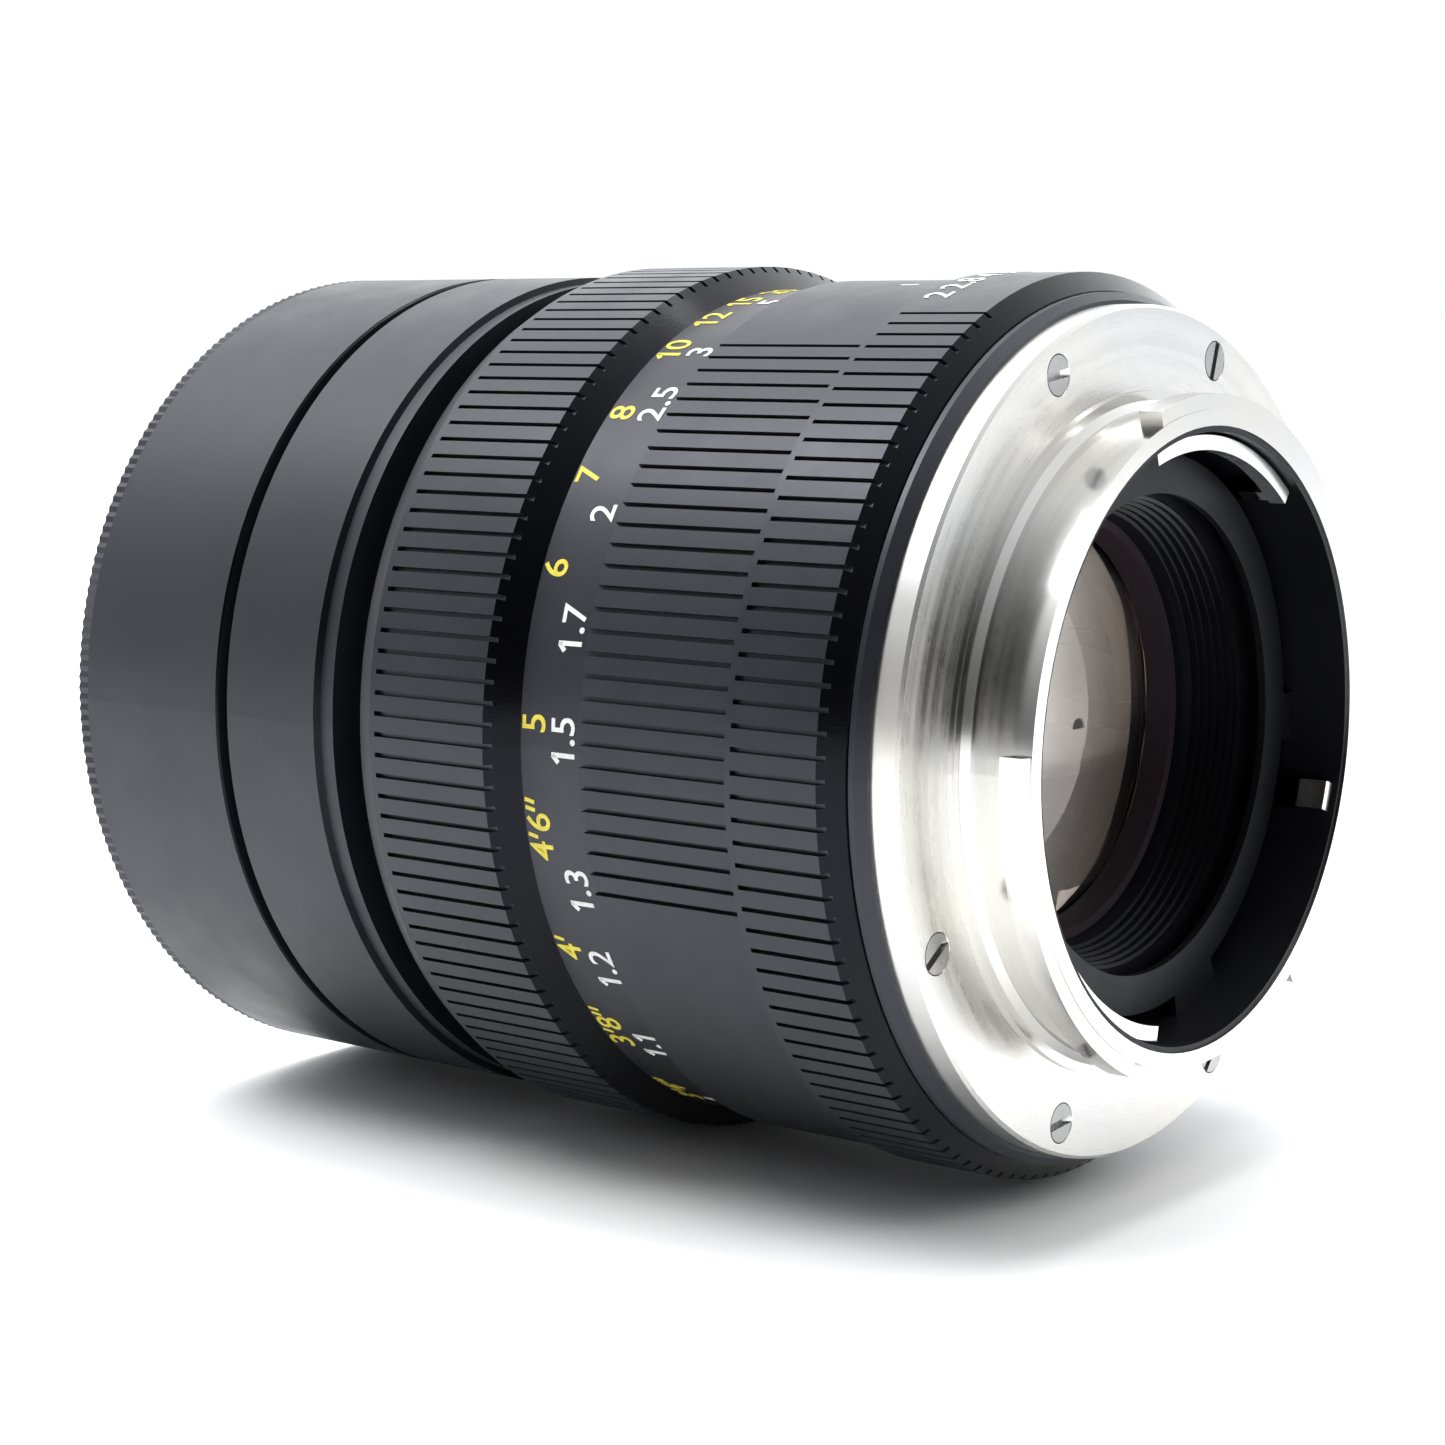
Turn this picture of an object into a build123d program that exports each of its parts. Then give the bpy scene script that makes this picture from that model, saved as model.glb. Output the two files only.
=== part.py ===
from build123d import *
import os
from math import cos, degrees, radians, sin, sqrt

# A manual-focus 90 mm f/2 prime lens with a sliding hood, millimetres.
# The optical axis is Y: the front looks along -Y and the bayonet points along +Y.
# The origin is the centre of the seat, the rear face of the mount flange.
# Angles run round the axis from +Z towards +X. The lens lies a little rolled,
# so the line of index marks stands INDEX_ANGLE round from +Z.

INDEX_ANGLE = -20.5

EDGE = 0.15           # small bevel that breaks an outer edge

# Clearances
SLIP = 0.02           # radial gap of pieces that are screwed or pressed together
RUNNING = 0.05        # radial gap of pieces that turn or slide on each other
HEAD_GAP = 0.09       # gap round the heads of the countersunk screws

# Outside sizes, front to rear
FRONT_Y = -80.0
OUTER_R = 34.4        # hood, front barrel and aperture ring
HOOD_REAR_Y = -63.5
RIM_WIDTH = 1.1
RIM_TEETH = 240
RIM_TOOTH_DEPTH = 0.14
HOOD_WALL = 1.2
HOOD_BORE = OUTER_R - HOOD_WALL
HOOD_LIP_R = 32.95     # inner lip at the rear of the hood
HOOD_GUIDE_R = 32.85   # the front barrel under the hood
SHELL_BORE = 31.8      # bore of the front barrel
FILTER_MINOR_R = 27.1  # inside of the filter thread
BARREL_FRONT_Y = -62.45
BARREL_REAR_Y = -51.1
BARREL_LIP_R = 33.9
BARREL_LIP_LENGTH = 1.3

GRIP_R = 35.1         # focus ring, over the ribs
FOCUS_FRONT_Y = -47.9
FOCUS_FRONT_R = 34.15
GRIP_FRONT_Y = -46.0
GRIP_REAR_Y = -34.5
SCALE_FRONT_Y = -32.4
SCALE_R = 33.25
SCALE_REAR_Y = -24.4
FOCUS_BORE = 30.0
INSERT_R = 31.0       # where the helicoid is pressed into the focus ring
TONGUE_R = 32.8       # the sleeve's rear end, tucked under the fixed ring
GRUB_ANGLES = [60, 180, 300]
GRUB_MID_R = (INSERT_R + TONGUE_R) / 2
GRUB_Y = -25.4

DEPTH_FRONT_Y = -26.4  # the fixed ring with the depth marks
DEPTH_REAR_Y = -12.9
DEPTH_R = 33.9

APERTURE_FRONT_Y = -12.75
APERTURE_RIB_REAR_Y = -4.95
APERTURE_REAR_Y = -3.5
APERTURE_REAR_R = 33.0
COVER_FRONT_Y = -3.35

FLANGE_R = 32.0
FLANGE_FRONT_Y = -2.2
STEP_R = 25.65
STEP_HEIGHT = 0.35
SPIGOT_R = 24.4
SPIGOT_BORE_R = 23.2
SPIGOT_END_Y = 5.8
LUG_R = 25.55
LUG_FRONT_Y = 3.9
LUG_ANGLES = [(107, 177), (-25, 38), (-124, -90)]  # from the index
LINER_R = 22.75       # bore of the black liner in the spigot
SCREW_R = 29.6        # circle of the flange screws
SCREW_ANGLES = [INDEX_ANGLE + angle for angle in (0, 45, 135, 180, 225, 315)]
HEAD_R = 1.45
HEAD_DEPTH = 1.1

# Ribs
FOCUS_SLOTS = 140
RING_SLOTS = 132      # pitch of the slots of the fixed ring and the aperture ring
SLOT_WIDTH = 0.36
SLOT_DEPTH = 0.45
SIDE_RIBS_HALF = 39.0          # ribs of the fixed ring, each side of 90 degrees
APERTURE_PLAIN = (-16.0, 43.0)  # plain stretch of the aperture ring, from the index

# Inner tubes
GUIDE_R = 29.5        # smooth tube that comes out when the lens is focused close
THREAD_R = 27.5       # helicoid
TUBE_BORE_R = 25.6
TUBE_FRONT_Y = -71.0
THREAD_FRONT_Y = -33.5
TUBE_REAR_Y = -10.4
CELL_R = TUBE_BORE_R - SLIP
REAR_CELL_BORE = 16.55
KEYWAY_ANGLE = INDEX_ANGLE + 180
KEYWAY_FLOOR_R = 26.3
KEY_WIDTH = 4.0
KEY_FRONT_Y = -31.6
KEY_REAR_Y = -11.0

# Fixed barrel
FIXED_R = 32.6        # under the fixed ring
FIXED_BORE = 30.4
JOURNAL_R = 31.5      # under the aperture ring
FLANGE_BORE = 28.3
NECK_R = 29.0         # the focus helicoid where the barrel's web holds it
WEB_FRONT_Y = -24.1
WEB_REAR_Y = -22.1

# Iris coupling and stop-down lever
LINK_ANGLE = INDEX_ANGLE + 120   # coupling screw
BALL_ANGLE = INDEX_ANGLE + 180   # click ball
CARRIER_R = FLANGE_BORE - 0.2
CAM_INNER_R = 21.4
CAM_OUTER_R = 22.5
UPPER_CAM = (-38, 17)  # first and last angle
LOWER_CAM = (130, 170)
TAB_ANGLE = -108      # tab of the stop-down lever

# Travels
FOCUS_TRAVEL = 16.0
APERTURE_TURN = 39.0
LEVER_TURN = 25.0

# Iris
BLADES = 8
BLADE_THICK = 0.1
BLADE_PITCH = 0.15
BLADE_INNER_R = 15.4
BLADE_OUTER_R = 22.6
BLADE_SPAN = 95.0
PIVOT_R = 23.6
PIN_R = 0.6
EAR_R = 1.1
IRIS_OPENING_R = 2.6
IRIS_Y = -18.9        # front of the first blade
BLADE_SWING = degrees((BLADE_INNER_R - IRIS_OPENING_R) / PIVOT_R)


def at(angle, radius, y=0.0):
    """A point, from its angle round the axis, its radius and its place along it."""
    turn = radians(angle)
    return Vector(radius * sin(turn), y, radius * cos(turn))


def turned(*profile):
    """A solid turned about the lens axis from (radius, y) points."""
    outline = Plane.XY * Polyline(*profile, close=True)
    return revolve(make_face(outline), Axis.Y, 360)


def ring(inner, outer, front, rear):
    """A plain ring between two radii and two places along the axis."""
    return turned((inner, front), (outer, front), (outer, rear), (inner, rear))


def radial_plane(angle, radius, y):
    """A plane whose z looks outwards from the axis and whose y runs along it."""
    out = at(angle, 1.0)
    return Plane(origin=at(angle, radius, y), x_dir=Vector(0, 1, 0).cross(out), z_dir=out)


def cross_plane(y):
    """A plane square to the axis that looks rearwards, drawn with x to the side and y down."""
    return Plane(origin=(0, y, 0), x_dir=(1, 0, 0), z_dir=(0, 1, 0))


def on_cross(angle, radius):
    """The point of cross_plane at an angle and a radius."""
    turn = radians(angle)
    return (radius * sin(turn), -radius * cos(turn))


def sector(start, end, inner, outer, front, rear):
    """An arc-shaped bar between two angles."""
    middle = (start + end) / 2
    with BuildPart() as bar:
        with BuildSketch(cross_plane(front)):
            with BuildLine():
                ThreePointArc(on_cross(start, outer), on_cross(middle, outer), on_cross(end, outer))
                Line(on_cross(end, outer), on_cross(end, inner))
                ThreePointArc(on_cross(end, inner), on_cross(middle, inner), on_cross(start, inner))
                Line(on_cross(start, inner), on_cross(start, outer))
            make_face()
        extrude(amount=rear - front)
    return bar.part


def radial_bar(angle, width, inner, outer, front, rear):
    """A straight bar between two radii and two places along the axis."""
    place = radial_plane(angle, (inner + outer) / 2, (front + rear) / 2)
    return place * Box(width, rear - front, outer - inner)


def slots(angles, radius, depth, front, rear):
    """Straight milled slots, one at each angle, as a list of cutters."""
    cutters = []
    for angle in angles:
        place = radial_plane(angle, radius, (front + rear) / 2)
        cutters.append(place * Box(SLOT_WIDTH, rear - front, 2 * depth))
    return cutters


def drill(angle, radius, front, rear, hole_r):
    """A cylinder along the axis direction."""
    place = Plane(origin=at(angle, radius, front), x_dir=(1, 0, 0), z_dir=(0, 1, 0))
    return place * extrude(Circle(hole_r), rear - front)


def half_sag(edge_r, pole, edge):
    """The point half way out along a spherical surface."""
    sag = edge - pole
    ball = (edge_r ** 2 + sag ** 2) / (2 * abs(sag))
    half = edge_r / 2
    depth = ball - sqrt(ball ** 2 - half ** 2)
    return (half, pole + depth * (1 if sag > 0 else -1))


def spherical_lens(edge_r, front, rear, front_edge, rear_edge):
    """A lens from its two pole positions and the places of its two edges, spherical between."""
    outline = []
    if abs(front - front_edge) > 0.01:
        outline.append(ThreePointArc((0, front), half_sag(edge_r, front, front_edge), (edge_r, front_edge)))
    else:
        outline.append(Line((0, front), (edge_r, front_edge)))
    outline.append(Line((edge_r, front_edge), (edge_r, rear_edge)))
    if abs(rear - rear_edge) > 0.01:
        outline.append(ThreePointArc((edge_r, rear_edge), half_sag(edge_r, rear, rear_edge), (0, rear)))
    else:
        outline.append(Line((edge_r, rear_edge), (0, rear)))
    outline.append(Line((0, rear), (0, front)))
    return revolve(make_face(Plane.XY * (Curve() + outline)), Axis.Y, 360)


parts = {}

# --- Hood -------------------------------------------------------------------

parts["lens_hood"] = turned(
    (HOOD_BORE, FRONT_Y + RIM_WIDTH), (OUTER_R, FRONT_Y + RIM_WIDTH), (OUTER_R, HOOD_REAR_Y - EDGE),
    (OUTER_R - EDGE, HOOD_REAR_Y), (HOOD_LIP_R, HOOD_REAR_Y), (HOOD_LIP_R, HOOD_REAR_Y - 0.8),
    (HOOD_BORE, HOOD_REAR_Y - 0.8))


def knurled_rim():
    """The coin-edged ring at the front of the hood."""
    points = []
    for tooth in range(RIM_TEETH):
        angle = tooth * 360 / RIM_TEETH
        points.append(on_cross(angle, OUTER_R))
        points.append(on_cross(angle + 180 / RIM_TEETH, OUTER_R - RIM_TOOTH_DEPTH))
    outline = cross_plane(FRONT_Y) * Polyline(*points, close=True)
    rim = extrude(make_face(outline), RIM_WIDTH, dir=(0, 1, 0))
    return rim - ring(0.0, HOOD_BORE, FRONT_Y - 1, FRONT_Y + RIM_WIDTH + 1)


parts["hood_rim"] = knurled_rim()

# --- Front barrel and filter ring ---------------------------------------------

parts["front_barrel"] = turned(
    (SHELL_BORE, -79.0), (HOOD_GUIDE_R, -79.0), (HOOD_GUIDE_R, BARREL_FRONT_Y),
    (OUTER_R - EDGE, BARREL_FRONT_Y), (OUTER_R, BARREL_FRONT_Y + EDGE),
    (OUTER_R, BARREL_REAR_Y - BARREL_LIP_LENGTH - 0.3),
    (BARREL_LIP_R, BARREL_REAR_Y - BARREL_LIP_LENGTH), (BARREL_LIP_R, BARREL_REAR_Y),
    (GUIDE_R + SLIP, BARREL_REAR_Y), (GUIDE_R + SLIP, BARREL_REAR_Y - 2.5),
    (SHELL_BORE, BARREL_REAR_Y - 2.5)) - ring(32.2, HOOD_GUIDE_R + 1, -78.4, -76.6)
parts["hood_felt"] = ring(32.2 + SLIP, HOOD_BORE - RUNNING, -78.35, -76.65)

parts["filter_ring"] = turned(
    (FILTER_MINOR_R, -79.0), (SHELL_BORE - SLIP, -79.0), (SHELL_BORE - SLIP, TUBE_FRONT_Y),
    (25.0, TUBE_FRONT_Y), (25.0, -73.0), (27.6, -73.0), (27.6, -74.0), (FILTER_MINOR_R, -74.0))
parts["name_ring"] = turned((25.2, -73.0), (27.0, -73.0), (27.0, -73.9), (26.4, -73.9))

# --- Moving tube and front optics ---------------------------------------------

parts["inner_barrel"] = turned(
    (TUBE_BORE_R, TUBE_FRONT_Y), (GUIDE_R, TUBE_FRONT_Y), (GUIDE_R, THREAD_FRONT_Y),
    (THREAD_R, THREAD_FRONT_Y), (THREAD_R, TUBE_REAR_Y), (TUBE_BORE_R, TUBE_REAR_Y))
parts["inner_barrel"] -= radial_bar(
    KEYWAY_ANGLE, KEY_WIDTH + 0.2, KEYWAY_FLOOR_R, KEYWAY_FLOOR_R + 4, KEY_FRONT_Y - 0.3, TUBE_REAR_Y + 1)

parts["front_cell"] = turned(
    (24.05, -70.9), (CELL_R, -70.9), (CELL_R, -34.5), (18.5, -34.5), (18.5, -36.4),
    (21.05, -36.4), (21.05, -60.8), (24.05, -60.8))
parts["front_retainer"] = ring(22.6, 24.0, -65.6, -63.2)
parts["lens_1"] = spherical_lens(24.0, -68.2, -60.6, -62.33, -60.92)
parts["element_spacer"] = ring(19.6, 21.0, -60.5, -48.3)
parts["lens_2"] = spherical_lens(21.0, -54.2, -46.5, -46.94, -44.65)


def meniscus():
    """The inner negative element, with a deep hollow towards the iris."""
    blank = spherical_lens(21.0, -46.45, -36.44, -44.6, -36.44)
    hollow_r = 24.0
    return blank - Pos(0, -43.5 + hollow_r, 0) * Sphere(hollow_r)


parts["lens_3"] = meniscus()

# --- Iris ---------------------------------------------------------------------

parts["iris_base_plate"] = ring(14.2, CELL_R, IRIS_Y - 0.7, IRIS_Y - 0.1)


def iris_blade(index):
    """One sickle-shaped leaf with its pivot pin, swung in to the smallest opening."""
    y = IRIS_Y + index * BLADE_PITCH
    pivot_angle = INDEX_ANGLE + index * 360 / BLADES
    leaf = sector(0, BLADE_SPAN, BLADE_INNER_R, BLADE_OUTER_R, y, y + BLADE_THICK)
    ear = drill(0, PIVOT_R, y, y + BLADE_THICK, EAR_R)
    bridge = Pos(*at(0, (PIVOT_R + BLADE_OUTER_R) / 2 - 0.5, y + BLADE_THICK / 2)) * Box(
        2 * EAR_R, BLADE_THICK, PIVOT_R - BLADE_OUTER_R + 1.0)
    pin = drill(0, PIVOT_R, IRIS_Y - 0.6, y + BLADE_THICK, PIN_R)
    blade = leaf + ear + bridge + pin
    hinge = Axis(at(0, PIVOT_R), (0, 1, 0))
    return blade.rotate(hinge, BLADE_SWING).rotate(Axis.Y, pivot_angle)


for index in range(BLADES):
    parts[f"iris_blade_{index + 1}"] = iris_blade(index)
    pivot_angle = INDEX_ANGLE + index * 360 / BLADES
    parts["iris_base_plate"] -= drill(pivot_angle, PIVOT_R, IRIS_Y - 1, IRIS_Y + 1, PIN_R + RUNNING)

parts["iris_drive_ring"] = ring(15.2, TUBE_BORE_R - 0.3, -17.4, -16.6)
parts["iris_drive_ring"] += sector(-98, -91, 14.1, 15.4, -17.4, -16.6)

# --- Rear optics --------------------------------------------------------------

mouth = [(17.9, -1.2)]
for groove in range(6):
    mouth.append((17.9 - 0.2 * groove, -1.55 - 0.65 * groove))
    mouth.append((17.65 - 0.2 * groove, -1.65 - 0.65 * groove))
parts["rear_cell"] = turned(
    (REAR_CELL_BORE, -16.2), (CELL_R, -16.2), (CELL_R, -12.5), (19.5, -12.5), (19.5, -1.2),
    *mouth, (REAR_CELL_BORE, -5.6))
parts["lens_4"] = spherical_lens(16.5, -14.0, -12.32, -15.9, -12.32)
parts["lens_5"] = spherical_lens(16.5, -12.3, -5.3, -12.3, -8.86)
parts["rear_retainer"] = turned((15.3, -8.2), (16.5, -8.6), (16.5, -6.2), (15.7, -6.2))

# --- Focus ring ----------------------------------------------------------------

def focus_ring():
    """Ribbed grip, bevel and numbered sleeve in one piece."""
    body = turned(
        (FOCUS_BORE, FOCUS_FRONT_Y), (FOCUS_FRONT_R, FOCUS_FRONT_Y), (GRIP_R, GRIP_FRONT_Y),
        (GRIP_R, GRIP_REAR_Y), (SCALE_R, SCALE_FRONT_Y), (SCALE_R, DEPTH_FRONT_Y - 0.15),
        (TONGUE_R, DEPTH_FRONT_Y - 0.15), (TONGUE_R, SCALE_REAR_Y), (INSERT_R, SCALE_REAR_Y),
        (INSERT_R, -33.0), (FOCUS_BORE, -33.0))
    angles = [step * 360 / FOCUS_SLOTS for step in range(FOCUS_SLOTS)]
    for angle in GRUB_ANGLES:
        body -= radial_plane(angle, GRUB_MID_R, GRUB_Y) * Cylinder(0.72, 4)
    return body - slots(angles, GRIP_R, SLOT_DEPTH, GRIP_FRONT_Y + 0.5, GRIP_REAR_Y + 1.0)


parts["focus_ring"] = focus_ring()

parts["focus_helicoid"] = turned(
    (THREAD_R + RUNNING, -31.0), (INSERT_R - SLIP, -31.0), (INSERT_R - SLIP, SCALE_REAR_Y),
    (NECK_R, SCALE_REAR_Y), (NECK_R, WEB_REAR_Y + 0.1), (THREAD_R + RUNNING, WEB_REAR_Y + 0.1))
parts["helicoid_retainer"] = ring(THREAD_R + 0.3, 29.9, WEB_REAR_Y + 0.1, WEB_REAR_Y + 1.3)

# --- Fixed barrel and the rings on it -------------------------------------------

def fixed_barrel():
    """The tube that carries everything, with slots for the coupling screw and the click ball."""
    body = turned(
        (NECK_R + RUNNING, WEB_FRONT_Y), (FIXED_R, WEB_FRONT_Y), (FIXED_R, DEPTH_REAR_Y),
        (JOURNAL_R, DEPTH_REAR_Y), (JOURNAL_R, FLANGE_FRONT_Y), (FLANGE_BORE, FLANGE_FRONT_Y),
        (FLANGE_BORE, -5.6), (FIXED_BORE, -5.6), (FIXED_BORE, WEB_REAR_Y), (NECK_R + RUNNING, WEB_REAR_Y))
    for angle in SCREW_ANGLES:
        body -= drill(angle, SCREW_R, -5.5, -2.0, 0.9)
    body -= sector(LINK_ANGLE - APERTURE_TURN - 3, LINK_ANGLE + 3, 29, 33, -9.4, -7.4)
    body -= radial_plane(BALL_ANGLE, 31, -8.4) * Cylinder(0.85, 4)
    return body


parts["fixed_barrel"] = fixed_barrel()


def depth_ring():
    """The fixed ring with the depth-of-field marks, ribbed on both sides."""
    body = turned(
        (TONGUE_R + 0.3, DEPTH_FRONT_Y), (DEPTH_R - EDGE, DEPTH_FRONT_Y),
        (DEPTH_R, DEPTH_FRONT_Y + EDGE), (DEPTH_R, DEPTH_REAR_Y),
        (FIXED_R + SLIP, DEPTH_REAR_Y), (FIXED_R + SLIP, WEB_FRONT_Y), (TONGUE_R + 0.3, WEB_FRONT_Y))
    pitch = 360 / RING_SLOTS
    count = int(SIDE_RIBS_HALF // pitch)
    angles = []
    for side in (90, 270):
        for step in range(-count, count + 1):
            angles.append(INDEX_ANGLE + side + step * pitch)
    return body - slots(angles, DEPTH_R, SLOT_DEPTH, DEPTH_FRONT_Y - 1, DEPTH_REAR_Y + 1)


parts["depth_ring"] = depth_ring()


def aperture_ring():
    """The ring that sets the iris, ribbed except under its numbers."""
    bore = JOURNAL_R + 0.1
    body = turned(
        (bore, APERTURE_FRONT_Y), (OUTER_R, APERTURE_FRONT_Y), (OUTER_R, APERTURE_RIB_REAR_Y),
        (APERTURE_REAR_R, APERTURE_REAR_Y), (bore, APERTURE_REAR_Y))
    body -= ring(JOURNAL_R, 32.2, -9.3, -7.5)
    pitch = 360 / RING_SLOTS
    angles = []
    for step in range(RING_SLOTS):
        angle = (step + 0.5) * pitch
        signed = angle if angle < 180 else angle - 360
        if not APERTURE_PLAIN[0] < signed < APERTURE_PLAIN[1]:
            angles.append(INDEX_ANGLE + signed)
    return body - slots(angles, OUTER_R, SLOT_DEPTH, APERTURE_FRONT_Y + 0.5, APERTURE_RIB_REAR_Y + 1)


parts["aperture_ring"] = aperture_ring()
parts["rear_cover"] = turned(
    (JOURNAL_R + SLIP, COVER_FRONT_Y), (APERTURE_REAR_R - 0.1, COVER_FRONT_Y),
    (APERTURE_REAR_R - 0.1, -2.9), (FLANGE_R + 0.3, FLANGE_FRONT_Y), (JOURNAL_R + SLIP, FLANGE_FRONT_Y))

# --- Bayonet --------------------------------------------------------------------

def bayonet_mount():
    """Flange, centring step, spigot and three lugs, with the screw holes."""
    body = turned(
        (SPIGOT_BORE_R, FLANGE_FRONT_Y), (FLANGE_R, FLANGE_FRONT_Y), (FLANGE_R, -0.25),
        (FLANGE_R - 0.25, 0.0), (STEP_R, 0.0), (STEP_R, STEP_HEIGHT), (STEP_R - 0.7, STEP_HEIGHT),
        (SPIGOT_R, STEP_HEIGHT + 0.5), (SPIGOT_R, SPIGOT_END_Y), (SPIGOT_BORE_R, SPIGOT_END_Y))
    for start, end in LUG_ANGLES:
        body += sector(INDEX_ANGLE + start, INDEX_ANGLE + end, SPIGOT_R - 0.5, LUG_R,
                       LUG_FRONT_Y, SPIGOT_END_Y - 0.1)
    for angle in SCREW_ANGLES:
        body -= drill(angle, SCREW_R, -3, 1, 0.9)
        body -= countersink(angle, HEAD_GAP)
    return body


def countersink(angle, gap):
    """The cone under a screw's head, grown by a gap."""
    place = Plane(origin=at(angle, SCREW_R, 0.0), x_dir=(1, 0, 0), z_dir=(0, 1, 0))
    cone = Cone(0.85 + gap, HEAD_R + gap, HEAD_DEPTH, align=(Align.CENTER, Align.CENTER, Align.MAX))
    return place * cone


def mount_screws():
    """Six slotted countersunk screws, each slot at its own angle."""
    screws = []
    slot_turns = (72, 8, 34, 4, 50, 25)
    for angle, slot_turn in zip(SCREW_ANGLES, slot_turns):
        screw = countersink(angle, 0.0) + drill(angle, SCREW_R, -5.2, -HEAD_DEPTH + 0.1, 0.85)
        slot = Plane(origin=at(angle, SCREW_R, 0.0), x_dir=(1, 0, 0), z_dir=(0, 1, 0))
        screw -= slot * Rot(0, 0, slot_turn) * Box(4, 0.6, 1.2)
        screws.append(screw)
    return Compound(children=screws)


parts["bayonet_mount"] = bayonet_mount()
parts["mount_screws"] = mount_screws()
parts["bayonet_liner"] = ring(LINER_R, SPIGOT_BORE_R - SLIP, FLANGE_FRONT_Y, SPIGOT_END_Y - 0.2)


def rear_baffle():
    """The flat light baffle, held by three webs between the cams."""
    plate = ring(18.1, 21.1, 0.4, 1.0)
    for centre, half in ((53, 20), (200, 8), (-92, 5)):
        plate += sector(centre - half, centre + half, 20.5, LINER_R - SLIP, 0.4, 1.0)
    return plate


parts["rear_baffle"] = rear_baffle()

# --- Iris coupling and stop-down lever --------------------------------------------

parts["cam_carrier"] = ring(23.0, CARRIER_R, -3.7, -2.4)
parts["cam_carrier"] += sector(LINK_ANGLE - 3, LINK_ANGLE + 3, 26.2, CARRIER_R, -9.4, -3.0)
for start, end in (UPPER_CAM, LOWER_CAM):
    parts["cam_carrier"] += sector(start, end, CAM_INNER_R, 23.5, -3.7, -2.4)


def metering_cam(span, height):
    """A curved cam strip on two legs."""
    start, end = span
    strip = sector(start, end, CAM_INNER_R, CAM_OUTER_R, height - 1.3, height)
    for leg in (start + 1, end - 4):
        strip += sector(leg, leg + 3, CAM_INNER_R, CAM_OUTER_R, -2.4, height)
    return strip


parts["upper_cam"] = metering_cam(UPPER_CAM, 4.8)
parts["lower_cam"] = metering_cam(LOWER_CAM, 4.2)
parts["coupling_screw"] = radial_plane(LINK_ANGLE, 30.15, -8.4) * Cylinder(0.8, 4.0)
parts["click_ball"] = Pos(*at(BALL_ANGLE, 31.15, -8.4)) * Sphere(0.75)
parts["click_spring"] = sector(BALL_ANGLE - 22, BALL_ANGLE + 22, 30.1, 30.35, -9.2, -7.6)

parts["stop_down_lever"] = ring(23.0, CARRIER_R, -5.3, -4.1)
parts["stop_down_lever"] -= sector(
    LINK_ANGLE - APERTURE_TURN - 6, LINK_ANGLE + LEVER_TURN + 6, 25.8, CARRIER_R + 1, -6, -3.9)
parts["stop_down_lever"] += sector(TAB_ANGLE - 5, TAB_ANGLE + 5, CAM_INNER_R, 23.5, -5.3, -4.1)
parts["stop_down_lever"] += sector(TAB_ANGLE - 3, TAB_ANGLE + 3, CAM_INNER_R, CAM_OUTER_R, -5.3, 5.2)
parts["lever_spring"] = (
    sector(TAB_ANGLE + 20, TAB_ANGLE + 110, 24.0, 24.4, -6.3, -5.9)
    + sector(TAB_ANGLE + 20, TAB_ANGLE + 21, 24.0, 24.4, -6.3, -5.3)
    + sector(TAB_ANGLE + 109, TAB_ANGLE + 110, 24.0, FIXED_BORE - SLIP, -6.3, -5.9))

# --- Small pieces -----------------------------------------------------------------

parts["guide_key"] = (
    radial_bar(KEYWAY_ANGLE, KEY_WIDTH, KEYWAY_FLOOR_R + 0.1, THREAD_R - 0.3, KEY_FRONT_Y, KEY_REAR_Y)
    + radial_bar(KEYWAY_ANGLE, KEY_WIDTH, KEYWAY_FLOOR_R + 0.1, FIXED_BORE - 0.1,
                 KEY_REAR_Y - 4.0, KEY_REAR_Y))
parts["focus_grub_screws"] = Compound(children=[
    radial_plane(angle, GRUB_MID_R, GRUB_Y) * Cylinder(0.7, TONGUE_R - INSERT_R - 0.1)
    for angle in GRUB_ANGLES])
bead_place = radial_plane(INDEX_ANGLE, APERTURE_REAR_R - 0.1, -2.95)
parts["index_bead"] = bead_place * Cylinder(0.35, 0.5)
parts["rear_cover"] -= bead_place * Cylinder(0.37, 0.6)

os.makedirs("parts", exist_ok=True)
for name, shape in parts.items():
    export_step(shape, f"parts/{name}.step")
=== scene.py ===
import math

import bpy
from mathutils import Matrix, Vector


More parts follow.
